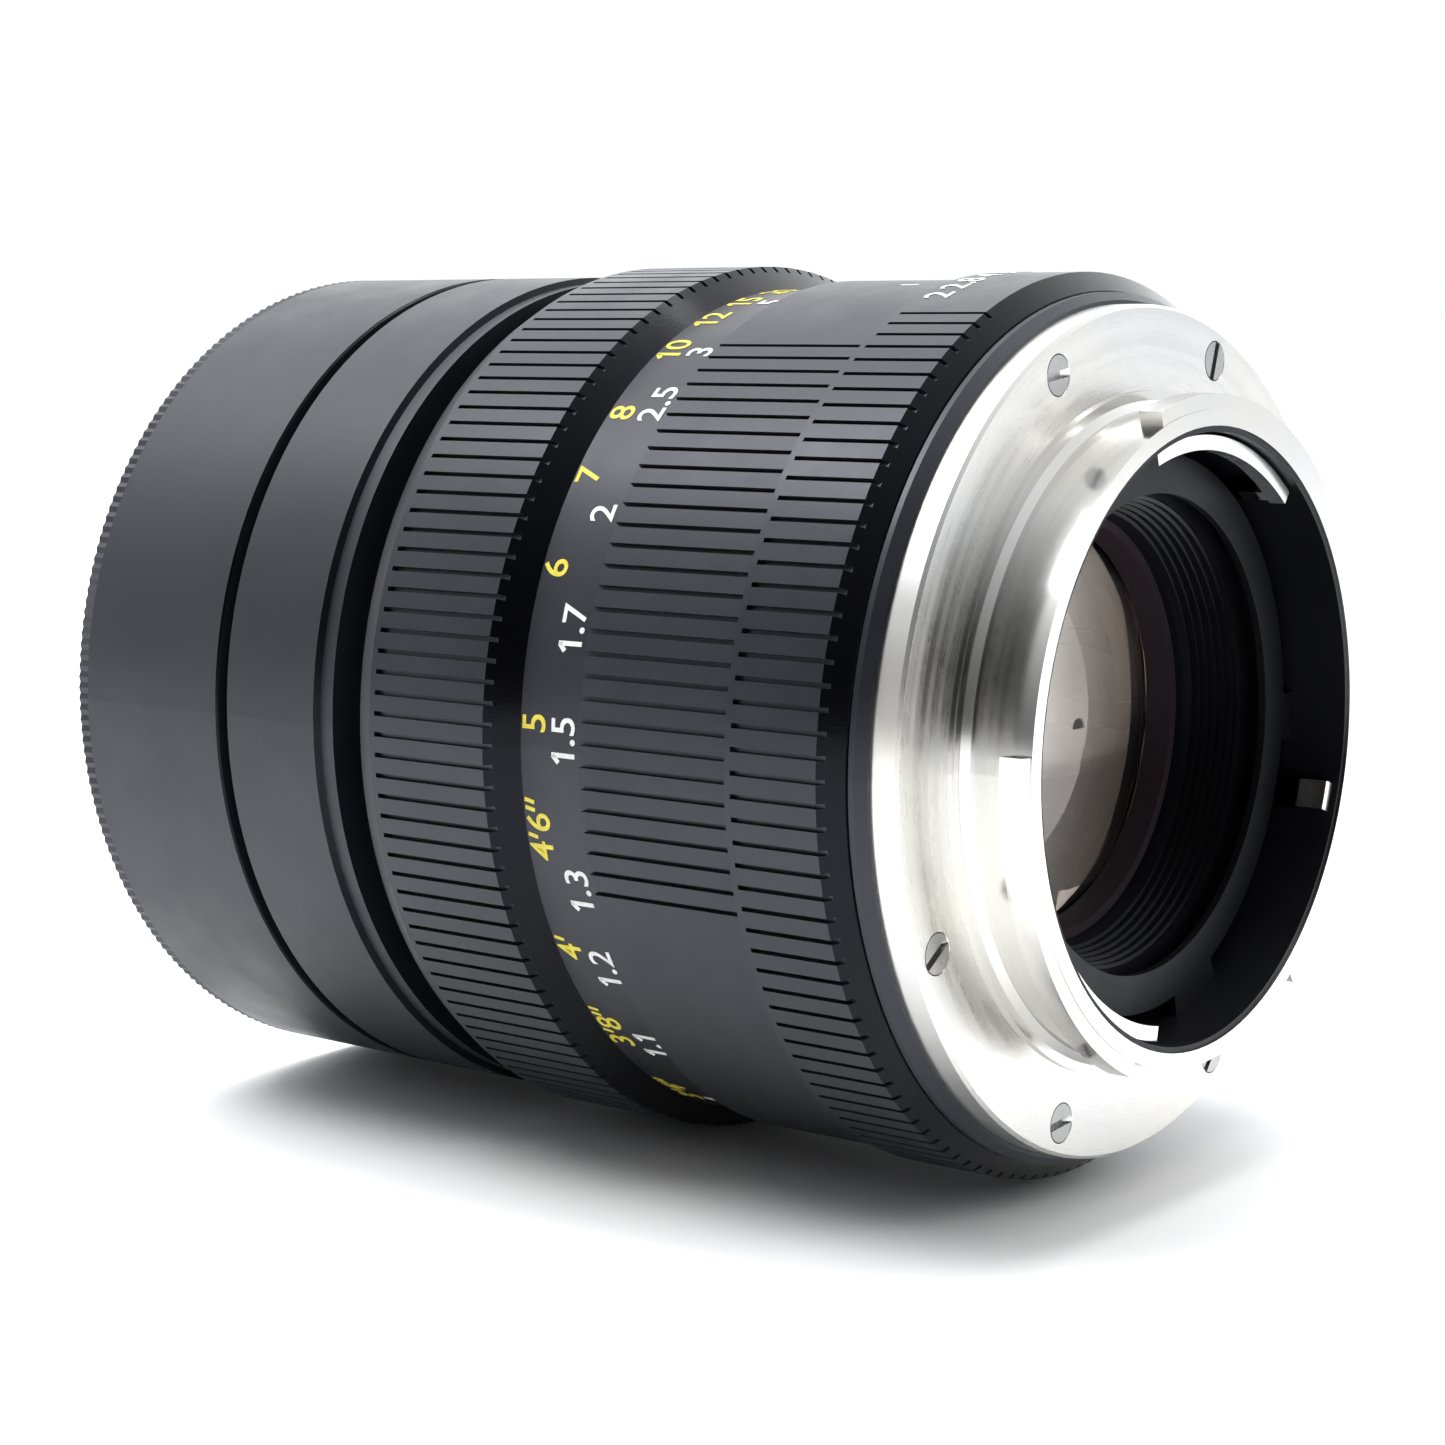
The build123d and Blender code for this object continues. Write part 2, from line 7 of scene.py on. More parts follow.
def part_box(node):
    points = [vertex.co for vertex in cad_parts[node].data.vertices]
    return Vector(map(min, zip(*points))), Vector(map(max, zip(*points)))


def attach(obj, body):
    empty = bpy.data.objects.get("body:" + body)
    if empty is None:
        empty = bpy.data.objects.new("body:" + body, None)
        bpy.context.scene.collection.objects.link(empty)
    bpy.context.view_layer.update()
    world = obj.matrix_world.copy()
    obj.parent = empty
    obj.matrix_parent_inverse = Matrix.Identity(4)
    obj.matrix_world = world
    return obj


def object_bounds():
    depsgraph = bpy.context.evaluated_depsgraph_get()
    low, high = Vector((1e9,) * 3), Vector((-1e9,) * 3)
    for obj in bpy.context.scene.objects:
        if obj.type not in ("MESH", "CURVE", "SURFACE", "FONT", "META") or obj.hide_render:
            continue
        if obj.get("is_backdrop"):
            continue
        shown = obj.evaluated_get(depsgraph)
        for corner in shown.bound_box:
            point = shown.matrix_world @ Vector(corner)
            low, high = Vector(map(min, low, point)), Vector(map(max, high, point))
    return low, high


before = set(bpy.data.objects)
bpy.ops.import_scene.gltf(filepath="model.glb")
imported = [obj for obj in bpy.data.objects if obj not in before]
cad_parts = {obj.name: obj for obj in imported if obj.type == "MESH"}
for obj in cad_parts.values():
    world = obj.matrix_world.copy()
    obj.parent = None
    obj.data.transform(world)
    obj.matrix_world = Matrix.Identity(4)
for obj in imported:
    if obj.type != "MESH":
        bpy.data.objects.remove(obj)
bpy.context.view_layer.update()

bl_info = {
    "name": "Prime lens finish",
    "version": (1, 0, 0),
    "blender": (4, 5, 0),
    "location": "3D View > Sidebar > Prime lens",
    "description": "Finishes, engraved scales, small fittings and studio for a manual prime lens",
    "category": "Object",
}

MM = 0.001
INDEX = -20.5         # angle of the index line round the axis, from +Z towards +X
SLEEVE_DROP = 1.85    # from the top of the focus grip's ribs down to its numbered sleeve
APERTURE_SPAN = 39.0  # angle from the first aperture number to the last
DEPTH_SPREAD = 0.62   # degrees either side of the index for each unit of aperture number
COOL_GLOSS = (0.85, 0.88, 1.0, 1.0)
BEAD_RED = (0.35, 0.02, 0.015, 1.0)


# --- Places round the optical axis ------------------------------------------------

def around(angle, radius, y):
    """A point in metres from its angle, radius and place along the axis in millimetres."""
    turn = math.radians(angle)
    return Vector((radius * math.sin(turn), y, radius * math.cos(turn))) * MM


def upright_on_ring(angle, radius, y):
    """Where a character stands on a ring: its top to the front, its face outwards."""
    turn = math.radians(angle)
    out = Vector((math.sin(turn), 0.0, math.cos(turn)))
    up = Vector((0.0, -1.0, 0.0))
    along = up.cross(out)
    turned = Matrix((along, up, out)).transposed().to_4x4()
    return Matrix.Translation(around(angle, radius, y)) @ turned


def select_only(*pieces):
    """Select these pieces and nothing else, the first of them active."""
    bpy.ops.object.select_all(action="DESELECT")
    for piece in pieces:
        piece.select_set(True)
    bpy.context.view_layer.objects.active = pieces[0]


def settle(piece, name, material, body):
    """Apply the place of a piece, name it, paint it and let it ride on its body."""
    select_only(piece)
    bpy.ops.object.transform_apply(location=True, rotation=True, scale=True)
    piece.name = name
    piece.data.name = name
    piece.data.materials.clear()
    piece.data.materials.append(material)
    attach(piece, body)
    return piece


# --- Materials ----------------------------------------------------------------------

def new_material(name):
    """An empty material with one shader joined to its output."""
    material = bpy.data.materials.new(name)
    material.use_nodes = True
    nodes = material.node_tree.nodes
    nodes.clear()
    output = nodes.new("ShaderNodeOutputMaterial")
    shader = nodes.new("ShaderNodeBsdfPrincipled")
    material.node_tree.links.new(shader.outputs["BSDF"], output.inputs["Surface"])
    return material, shader


def add(material, kind, **settings):
    """A new node, with its own settings and its input values given by name."""
    node = material.node_tree.nodes.new(kind)
    for key, value in settings.items():
        if hasattr(node, key):
            setattr(node, key, value)
        else:
            node.inputs[key.replace("_", " ")].default_value = value
    return node


def join(material, out, into):
    """Link an output to an input."""
    material.node_tree.links.new(out, into)


def object_place(material):
    """Where a point lies on the lens, the same at every pose."""
    return add(material, "ShaderNodeTexCoord").outputs["Object"]


def noise(material, place, scale, detail=3.0, rough=0.5):
    """Soft irregular variation, with its scale in features per metre."""
    node = add(material, "ShaderNodeTexNoise", Scale=scale, Detail=detail, Roughness=rough)
    join(material, place, node.inputs["Vector"])
    return node.outputs["Fac"]


def spread(material, value, low, high, low_in=0.3, high_in=0.7):
    """Stretch a value from one range to another, held at both ends."""
    node = add(material, "ShaderNodeMapRange")
    node.inputs["From Min"].default_value = low_in
    node.inputs["From Max"].default_value = high_in
    node.inputs["To Min"].default_value = low
    node.inputs["To Max"].default_value = high
    join(material, value, node.inputs["Value"])
    return node.outputs["Result"]


def two_colours(material, value, first, second):
    """A mix of two colours, each either fixed or the output of another node."""
    node = add(material, "ShaderNodeMix", data_type="RGBA")
    for letter, colour in (("A", first), ("B", second)):
        socket = next(each for each in node.inputs if each.type == "RGBA" and each.name == letter)
        if isinstance(colour, bpy.types.NodeSocket):
            join(material, colour, socket)
        else:
            socket.default_value = colour
    join(material, value, node.inputs["Factor"])
    return next(out for out in node.outputs if out.type == "RGBA")


def multiplied(material, first, second):
    """The product of two outputs."""
    node = add(material, "ShaderNodeMath", operation="MULTIPLY")
    join(material, first, node.inputs[0])
    join(material, second, node.inputs[1])
    return node.outputs[0]


def bump(material, shader, height, strength, distance):
    """Fine relief from a height."""
    node = add(material, "ShaderNodeBump", Strength=strength, Distance=distance)
    join(material, height, node.inputs["Height"])
    join(material, node.outputs["Normal"], shader.inputs["Normal"])


def lathe_lines(material, place, per_metre):
    """Fine turning marks that follow each other along the axis."""
    node = add(material, "ShaderNodeTexWave", wave_type="BANDS", bands_direction="Y", Scale=per_metre,
               Distortion=1.4, Detail=2.0)
    join(material, place, node.inputs["Vector"])
    return node.outputs["Fac"]


def along_axis(material, place):
    """Distance along the optical axis, in metres."""
    split = add(material, "ShaderNodeSeparateXYZ")
    join(material, place, split.inputs[0])
    return split.outputs["Y"]


def from_axis(material, place):
    """Distance from the optical axis, in metres."""
    flat = add(material, "ShaderNodeVectorMath", operation="MULTIPLY")
    flat.inputs[1].default_value = (1.0, 0.0, 1.0)
    join(material, place, flat.inputs[0])
    length = add(material, "ShaderNodeVectorMath", operation="LENGTH")
    join(material, flat.outputs[0], length.inputs[0])
    return length.outputs["Value"]


def facing_circles(material, place, per_metre):
    """Uneven circles round the optical axis, as a facing cut leaves them."""
    node = add(material, "ShaderNodeTexNoise", noise_dimensions="1D", Scale=per_metre, Detail=4.0,
               Roughness=0.6)
    join(material, from_axis(material, place), node.inputs["W"])
    return node.outputs["Fac"]


def bevel_mask(material):
    """Painted shade mask: one on bevels cut towards the mount, nothing on plain turned and flat faces."""
    coords = add(material, "ShaderNodeTexCoord")
    split = add(material, "ShaderNodeSeparateXYZ")
    join(material, coords.outputs["Normal"], split.inputs[0])
    rising = spread(material, split.outputs["Y"], 0.0, 1.0, 0.2, 0.45)
    falling = spread(material, split.outputs["Y"], 1.0, 0.0, 0.93, 0.98)
    return multiplied(material, rising, falling)


def anodised(name, dark, light, rough_low, rough_high, grain=0.25, lines=0.0, gloss=0.5, shade_bevels=True):
    """Black anodised aluminium: fine grain, faint cloudiness in colour and gloss, and painted shade on the
    bevels facing the mount: a darker black and a dimmer reflection.
    """
    material, shader = new_material(name)
    place = object_place(material)
    cloud = noise(material, place, 55.0, 4.0)
    fine = noise(material, place, 5200.0, 2.0)
    colour = two_colours(material, spread(material, cloud, 0.0, 1.0), dark, light)
    smudge = noise(material, place, 160.0, 5.0, 0.62)
    rough = spread(material, smudge, rough_low, rough_high)
    shader.inputs["Specular Tint"].default_value = COOL_GLOSS
    # Painted shade: bevels facing the mount get a darker black, a dimmer reflection tint and less roughness.
    if shade_bevels:
        cut = bevel_mask(material)
        join(material, two_colours(material, cut, COOL_GLOSS, (0.28, 0.29, 0.34, 1)),
             shader.inputs["Specular Tint"])
        shaded_black = tuple(c * 0.3 for c in dark[:3]) + (1.0,)
        colour = two_colours(material, cut, colour, shaded_black)
        rough = multiplied(material, rough, spread(material, cut, 1.0, 0.5, 0.0, 1.0))
    join(material, colour, shader.inputs["Base Color"])
    join(material, rough, shader.inputs["Roughness"])
    shader.inputs["Specular IOR Level"].default_value = gloss
    shader.inputs["IOR"].default_value = 1.5
    height = fine
    if lines:
        turned = lathe_lines(material, place, 2600.0)
        mixed = add(material, "ShaderNodeMath", operation="MULTIPLY_ADD")
        join(material, turned, mixed.inputs[0])
        mixed.inputs[1].default_value = lines
        join(material, fine, mixed.inputs[2])
        height = mixed.outputs[0]
    bump(material, shader, height, grain, 0.00002)
    return material


def plated(name, dark, light, rough_low, rough_high, turned, strength, polished_inside=0.0, shade_below=0.0):
    """Plated or bare metal with turning marks, smoother inside a radius, and with painted shade (near black)
    below a place along the axis.
    """
    material, shader = new_material(name)
    place = object_place(material)
    shader.inputs["Metallic"].default_value = 1.0
    cloud = noise(material, place, 45.0, 2.0, 0.4)
    colour = two_colours(material, spread(material, cloud, 0.0, 1.0), dark, light)
    if shade_below:
        # Painted shade: near black below that place along the axis, the light colour above it.
        out_of_shade = spread(material, along_axis(material, place), 0.0, 1.0, shade_below - 0.0002, shade_below)
        colour = two_colours(material, out_of_shade, (0.01, 0.01, 0.011, 1), light)
    join(material, colour, shader.inputs["Base Color"])
    marks = noise(material, place, 300.0, 3.0, 0.5)
    gloss = spread(material, marks, rough_low, rough_high)
    if turned:
        circles = facing_circles(material, place, 900.0)
        gloss = multiplied(material, gloss, spread(material, circles, 0.78, 1.22))
    if polished_inside:
        shine = spread(material, from_axis(material, place), 0.5, 1.0,
                       polished_inside, polished_inside + 0.0002)
        gloss = multiplied(material, gloss, shine)
    join(material, gloss, shader.inputs["Roughness"])
    if turned:
        shader.inputs["Anisotropic"].default_value = turned
        round_axis = add(material, "ShaderNodeTangent", direction_type="RADIAL", axis="Y")
        join(material, round_axis.outputs[0], shader.inputs["Tangent"])
    grain = noise(material, place, 6000.0, 2.0)
    bump(material, shader, grain, strength, 0.000004)
    return material


def coated_glass(name, tint, coating, index):
    """Coated optical glass: it bends what is seen through it and lets lamp light through to the iris."""
    material, shader = new_material(name)
    output = next(n for n in material.node_tree.nodes if n.type == "OUTPUT_MATERIAL")
    shader.inputs["Base Color"].default_value = tint
    shader.inputs["Transmission Weight"].default_value = 1.0
    shader.inputs["IOR"].default_value = index
    shader.inputs["Specular Tint"].default_value = coating
    smear = noise(material, object_place(material), 90.0, 3.0)
    join(material, spread(material, smear, 0.0, 0.01), shader.inputs["Roughness"])
    clear = add(material, "ShaderNodeBsdfTransparent")
    clear.inputs["Color"].default_value = tint
    path = add(material, "ShaderNodeLightPath")
    either = add(material, "ShaderNodeMath", operation="MAXIMUM")
    join(material, path.outputs["Is Shadow Ray"], either.inputs[0])
    join(material, path.outputs["Is Diffuse Ray"], either.inputs[1])
    blend = add(material, "ShaderNodeMixShader")
    join(material, either.outputs[0], blend.inputs[0])
    join(material, shader.outputs[0], blend.inputs[1])
    join(material, clear.outputs[0], blend.inputs[2])
    join(material, blend.outputs[0], output.inputs["Surface"])
    return material


def paint(name, colour, rough):
    """Engraving filled with paint, a little uneven."""
    material, shader = new_material(name)
    place = object_place(material)
    worn = tuple(c * 0.78 for c in colour[:3]) + (1.0,)
    patches = noise(material, place, 1500.0, 3.0)
    join(material, two_colours(material, spread(material, patches, 0.0, 1.0), worn, colour),
         shader.inputs["Base Color"])
    join(material, spread(material, noise(material, place, 2500.0), rough - 0.08, rough + 0.1),
         shader.inputs["Roughness"])
    bump(material, shader, patches, 0.2, 0.00002)
    return material


def felt_cloth(name):
    """Short black fibres with a little sheen."""
    material, shader = new_material(name)
    place = object_place(material)
    fibre = noise(material, place, 3000.0, 6.0, 0.8)
    join(material, two_colours(material, fibre, (0.004, 0.004, 0.004, 1), (0.03, 0.03, 0.03, 1)),
         shader.inputs["Base Color"])
    shader.inputs["Roughness"].default_value = 0.95
    shader.inputs["Sheen Weight"].default_value = 0.4
    bump(material, shader, fibre, 0.7, 0.0001)
    return material


# --- Settings -----------------------------------------------------------------------

class LensFinishSettings(bpy.types.PropertyGroup):
    black: bpy.props.FloatVectorProperty(
        name="Anodised black", description="Colour of the black metal", subtype="COLOR",
        size=4, default=(0.0060, 0.0063, 0.0085, 1.0), min=0.0, max=1.0)
    chrome: bpy.props.FloatVectorProperty(
        name="Satin chrome", description="Colour of the plated mount", subtype="COLOR",
        size=4, default=(0.755, 0.74, 0.695, 1.0), min=0.0, max=1.0)
    feet: bpy.props.FloatVectorProperty(
        name="Feet paint", description="Colour of the numbers in feet", subtype="COLOR",
        size=4, default=(0.74, 0.63, 0.055, 1.0), min=0.0, max=1.0)
    metres: bpy.props.FloatVectorProperty(
        name="Metre paint", description="Colour of the numbers in metres", subtype="COLOR",
        size=4, default=(0.78, 0.79, 0.78, 1.0), min=0.0, max=1.0)


class LensScaleSettings(bpy.types.PropertyGroup):
    feet_height: bpy.props.FloatProperty(
        name="Feet height", description="Height of the numbers in feet", default=0.00215,
        min=0.0005, max=0.004, unit="LENGTH")
    metre_height: bpy.props.FloatProperty(
        name="Metre height", description="Height of the numbers in metres", default=0.00215,
        min=0.0005, max=0.004, unit="LENGTH")
    aperture_height: bpy.props.FloatProperty(
        name="Aperture height", description="Height of the aperture numbers", default=0.0021,
        min=0.0005, max=0.004, unit="LENGTH")
    relief: bpy.props.FloatProperty(
        name="Paint relief", description="How far the paint stands above its ring", default=0.00003,
        min=0.0, max=0.0002, unit="LENGTH")
    boldness: bpy.props.FloatProperty(
        name="Boldness", description="How far the strokes of the numbers are thickened", default=0.000022,
        min=0.0, max=0.0001, unit="LENGTH")
    line_width: bpy.props.FloatProperty(
        name="Line width", description="Width of an engraved line", default=0.00028,
        min=0.0001, max=0.001, unit="LENGTH")


FINISHES = {}


def finish_named(name):
    """Each finish is mixed once and shared by the pieces that have it."""
    settings = bpy.context.scene.lens_finish
    if name not in FINISHES:
        black = tuple(settings.black)
        lighter = tuple(min(1.0, c * 1.7) for c in black[:3]) + (1.0,)
        chrome = tuple(settings.chrome)
        dull = (chrome[0] * 0.91, chrome[1] * 0.94, chrome[2] * 1.01, 1.0)
        makers = {
            "satin_black": lambda: anodised("satin_black", black, lighter, 0.36, 0.47, 0.2, 0.25),
            "grip_black": lambda: anodised("grip_black", black, lighter, 0.30, 0.42, 0.22),
            "cover_black": lambda: anodised(
                "cover_black", lighter, lighter, 0.30, 0.40, 0.15, shade_bevels=False),
            "matt_black": lambda: anodised(
                "matt_black", (0.003, 0.003, 0.004, 1), (0.005, 0.005, 0.006, 1), 0.55, 0.7, 0.3, 0.0, 0.3),
            "inner_black": lambda: anodised(
                "inner_black", (0.002, 0.002, 0.0032, 1), (0.0035, 0.0035, 0.005, 1),
                0.42, 0.52, 0.12, 0.0, 0.25),
            # Dark purple on the rear retainer: a painted reflection of the glass coating.
            "coating_reflection_black": lambda: anodised(
                "coating_reflection_black", (0.014, 0.008, 0.010, 1), (0.024, 0.015, 0.018, 1), 0.5, 0.6, 0.2, 0.0, 0.3),
            "satin_chrome": lambda: plated(
                "satin_chrome", dull, chrome, 0.27, 0.31, 0.2, 0.12, polished_inside=0.0258),
            # The cams and the lever get painted shade below 3 mm along the axis.
            "bright_steel": lambda: plated(
                "bright_steel", (0.70, 0.70, 0.70, 1), (0.86, 0.86, 0.85, 1), 0.2, 0.28, 0.0, 0.1,
                shade_below=0.0030),
            "spring_steel": lambda: plated(
                "spring_steel", (0.45, 0.45, 0.46, 1), (0.6, 0.6, 0.6, 1), 0.2, 0.3, 0.0, 0.1),
            "screw_steel": lambda: plated(
                "screw_steel", (0.36, 0.36, 0.36, 1), (0.46, 0.46, 0.46, 1), 0.22, 0.32, 0.0, 0.2),
            "leaf_steel": lambda: plated(
                "leaf_steel", (0.34, 0.28, 0.195, 1), (0.41, 0.34, 0.24, 1), 0.42, 0.55, 0.0, 0.04),
            # A darker copy of the leaf steel: painted shade for every other blade.
            "leaf_steel_shaded": lambda: plated(
                "leaf_steel_shaded", (0.19, 0.155, 0.11, 1), (0.25, 0.205, 0.145, 1), 0.36, 0.5, 0.0, 0.04),
            "greased_brass": lambda: plated(
                "greased_brass", (0.55, 0.38, 0.14, 1), (0.72, 0.53, 0.24, 1), 0.2, 0.4, 0.6, 0.3),
            "rear_glass": lambda: coated_glass(
                "rear_glass", (0.99, 0.97, 0.93, 1), (0.5, 0.38, 0.33, 1), 1.6),
            "inner_glass": lambda: coated_glass(
                "inner_glass", (0.85, 0.85, 0.86, 1), (0.2, 0.14, 0.2, 1), 1.6),
            "front_glass": lambda: coated_glass(
                "front_glass", (0.78, 0.81, 0.81, 1), (0.34, 0.30, 0.52, 1), 1.65),
            "feet_paint": lambda: paint("feet_paint", tuple(settings.feet), 0.5),
            "metre_paint": lambda: paint("metre_paint", tuple(settings.metres), 0.5),
            "red_enamel": lambda: paint("red_enamel", BEAD_RED, 0.25),
            "black_felt": lambda: felt_cloth("black_felt"),
        }
        FINISHES[name] = makers[name]()
    return FINISHES[name]


# --- Operators ----------------------------------------------------------------------

NODE_FINISH = {
    "satin_black": ["lens_hood", "hood_rim", "front_barrel", "depth_ring", "fixed_barrel"],
    "grip_black": ["focus_ring", "aperture_ring"],
    "cover_black": ["rear_cover"],
    "matt_black": ["filter_ring", "name_ring", "front_cell", "front_retainer", "element_spacer",
                   "iris_base_plate", "inner_barrel", "iris_drive_ring", "cam_carrier", "helicoid_retainer"],
    "coating_reflection_black": ["rear_retainer"],
    "inner_black": ["bayonet_liner", "rear_baffle", "rear_cell"],
    "satin_chrome": ["bayonet_mount"],
    "screw_steel": ["mount_screws", "focus_grub_screws", "coupling_screw"],
    "bright_steel": ["upper_cam", "lower_cam", "stop_down_lever"],
    "spring_steel": ["click_ball", "click_spring", "lever_spring"],
    "greased_brass": ["focus_helicoid", "guide_key"],
    "front_glass": ["lens_1"],
    "inner_glass": ["lens_2", "lens_3"],
    "rear_glass": ["lens_4", "lens_5"],
    "black_felt": ["hood_felt"],
    "red_enamel": ["index_bead"],
}


class LENS_OT_finish_pieces(bpy.types.Operator):
    """Give every turned, milled, plated and ground piece its finish."""
    bl_idname = "lens.finish_pieces"
    bl_label = "Finish the pieces"

    def execute(self, context):
        for finish, names in NODE_FINISH.items():
            for name in names:
                self.coat(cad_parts[name], finish)
        for count in range(1, 9):
            # Every other blade takes the darker copy of the leaf steel, which is painted shade.
            self.coat(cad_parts[f"iris_blade_{count}"], "leaf_steel" if count % 2 else "leaf_steel_shaded")
        return {"FINISHED"}

    def coat(self, node, finish):
        material = finish_named(finish)
        if not node.material_slots:
            node.data.materials.append(material)
        for slot in node.material_slots:
            slot.material = material


# Straight strokes that complete a character: width, length and place in character heights, then tilt.
EXTRA_STROKES = {
    "1": ((0.17, 0.36, -0.13, 0.40, -45.0),),
    "'": ((0.14, 0.42, 0.0, 0.37, -12.0),),
    '"': ((0.14, 0.42, -0.14, 0.37, -12.0), (0.14, 0.42, 0.14, 0.37, -12.0)),
}
ADVANCE = {".": 0.36, "'": 0.30, '"': 0.46, "1": 0.58}


def stroke(width, length, x, y, tilt, thickness):
    """One straight stroke of a character, lying in the XY plane."""
    bpy.ops.object.select_all(action="DESELECT")
    bpy.ops.mesh.primitive_cube_add(size=1.0, location=(x, y, 0.0), rotation=(0.0, 0.0, math.radians(tilt)))
    slab = bpy.context.object
    slab.scale = (width, length, thickness)
    bpy.ops.object.transform_apply(location=True, rotation=True, scale=True)
    return slab


def flat_character(character, height):
    """A character as a thin mesh in the XY plane, centred on its middle."""
    settings = bpy.context.scene.lens_scale
    pieces = []
    if character not in "'\"":
        bpy.ops.object.select_all(action="DESELECT")
        bpy.ops.object.text_add(location=(0, 0, 0))
        glyph = bpy.context.object
        glyph.data.body = character
        glyph.data.size = height * 1.46
        glyph.data.align_x = "CENTER"
        glyph.data.align_y = "CENTER"
        glyph.data.offset = settings.boldness * (2.0 if character == "." else 1.0)
        glyph.data.extrude = settings.relief
        glyph.data.resolution_u = 4
        select_only(glyph)
        bpy.ops.object.convert(target="MESH")
        pieces.append(bpy.context.object)
    for width, length, x, y, tilt in EXTRA_STROKES.get(character, ()):
        pieces.append(stroke(width * height, length * height, x * height, y * height, tilt,
                             2 * settings.relief))
    select_only(*pieces)
    if len(pieces) > 1:
        bpy.ops.object.join()
    return bpy.context.object


def engrave_text(words, angle, radius, y, height, paint_name, body, name):
    """Stand the characters of a word round a ring, each square to the surface."""
    glyphs = []
    widths = [ADVANCE.get(character, 0.72) * height for character in words]
    start = -sum(widths) / 2
    for character, width in zip(words, widths):
        turn = math.degrees((start + width / 2) / (radius * MM))
        start += width
        glyph = flat_character(character, height)
        glyph.matrix_world = upright_on_ring(angle - turn, radius, y)
        glyphs.append(glyph)
    select_only(*glyphs)
    if len(glyphs) > 1:
        bpy.ops.object.join()
    return settle(bpy.context.object, name, finish_named(paint_name), body)


def engrave_line(angle, radius, front, rear, paint_name, body, name):
    """A straight engraved line along the axis, filled with paint, with rounded ends."""
    settings = bpy.context.scene.lens_scale
    bpy.ops.object.select_all(action="DESELECT")
    bpy.ops.mesh.primitive_cube_add(size=1.0)
    line = bpy.context.object
    line.scale = (settings.line_width, (rear - front) * MM, 2 * settings.relief)
    bpy.ops.object.transform_apply(scale=True)
    bevel = line.modifiers.new("rounded ends", "BEVEL")
    bevel.width = settings.relief * 0.8
    bevel.segments = 2
    bpy.ops.object.modifier_apply(modifier=bevel.name)
    line.matrix_world = upright_on_ring(angle, radius, (front + rear) / 2)
    return settle(line, name, finish_named(paint_name), body)


FEET = [("60", -10.5), ("30", -2.0), ("20", 6.3), ("15", 14.0), ("12", 21.6), ("10", 30.5), ("8", 43.8),
        ("7", 54.0), ("6", 67.1), ("5", 86.8), ("4'6\"", 100.6), ("4'", 117.6), ("3'8\"", 132.4),
        ("3'4\"", 150.5), ("3'", 174.5), ("2'9\"", 196.0), ("2'6\"", 222.0), ("2'4\"", 243.0)]
METRES = [("10", 0.2), ("5", 14.6), ("3", 31.2), ("2.5", 42.0), ("2", 59.4), ("1.7", 74.6),
          ("1.5", 88.6), ("1.3", 108.3), ("1.2", 120.3), ("1.1", 135.1), ("1", 152.5), ("0.9", 177.0),
          ("0.8", 210.0), ("0.7", 250.0)]
STOPS = ["22", "16", "11", "8", "5.6", "4", "2.8", "2"]


class LENS_OT_distance_numbers(bpy.types.Operator):
    """Paint the distance numbers on the focus ring, feet in front of metres."""
    bl_idname = "lens.distance_numbers"
    bl_label = "Distance numbers"

    def execute(self, context):
        settings = context.scene.lens_scale
        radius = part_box("focus_ring")[1].z / MM - SLEEVE_DROP
        for count, (words, angle) in enumerate(FEET):
            engrave_text(words, angle, radius, -31.0, settings.feet_height, "feet_paint",
                         "focus", f"feet_number_{count + 1}")
        for count, (words, angle) in enumerate(METRES):
            engrave_text(words, angle, radius, -28.2, settings.metre_height, "metre_paint",
                         "focus", f"metre_number_{count + 1}")
        return {"FINISHED"}


class LENS_OT_depth_marks(bpy.types.Operator):
    """Engrave the index line and the depth-of-field lines on the fixed ring."""
    bl_idname = "lens.depth_marks"
    bl_label = "Depth marks"

    def execute(self, context):
        settings = context.scene.lens_scale
        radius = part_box("depth_ring")[1].z / MM
        engrave_line(INDEX, radius, -26.0, -13.2, "metre_paint", "root", "index_line")
        sides = (("left", -1), ("right", 1))
        for stop in (4, 8, 11, 16, 22):
            for side, sign in sides:
                angle = INDEX + sign * DEPTH_SPREAD * stop
                engrave_line(angle, radius, -26.0, -23.6, "metre_paint", "root", f"depth_line_{stop}_{side}")
        for stop in (8, 16, 22):
            for side, sign in sides:
                angle = INDEX + sign * DEPTH_SPREAD * stop
                engrave_text(str(stop), angle, radius, -21.6, settings.aperture_height * 0.66,
                             "metre_paint", "root", f"depth_number_{stop}_{side}")
        engrave_line(INDEX + 29.6, radius, -18.3, -16.7, "metre_paint", "root", "depth_dash")
        return {"FINISHED"}


class LENS_OT_aperture_numbers(bpy.types.Operator):
    """Paint the aperture numbers on the aperture ring, the smallest opening at the index."""
    bl_idname = "lens.aperture_numbers"
    bl_label = "Aperture numbers"

    def execute(self, context):
        settings = context.scene.lens_scale
        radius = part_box("aperture_ring")[1].z / MM
        for count, words in enumerate(STOPS):
            angle = INDEX + count * APERTURE_SPAN / (len(STOPS) - 1)
            engrave_text(words, angle, radius, -11.0, settings.aperture_height, "metre_paint",
                         "aperture", f"aperture_number_{count + 1}")
        return {"FINISHED"}


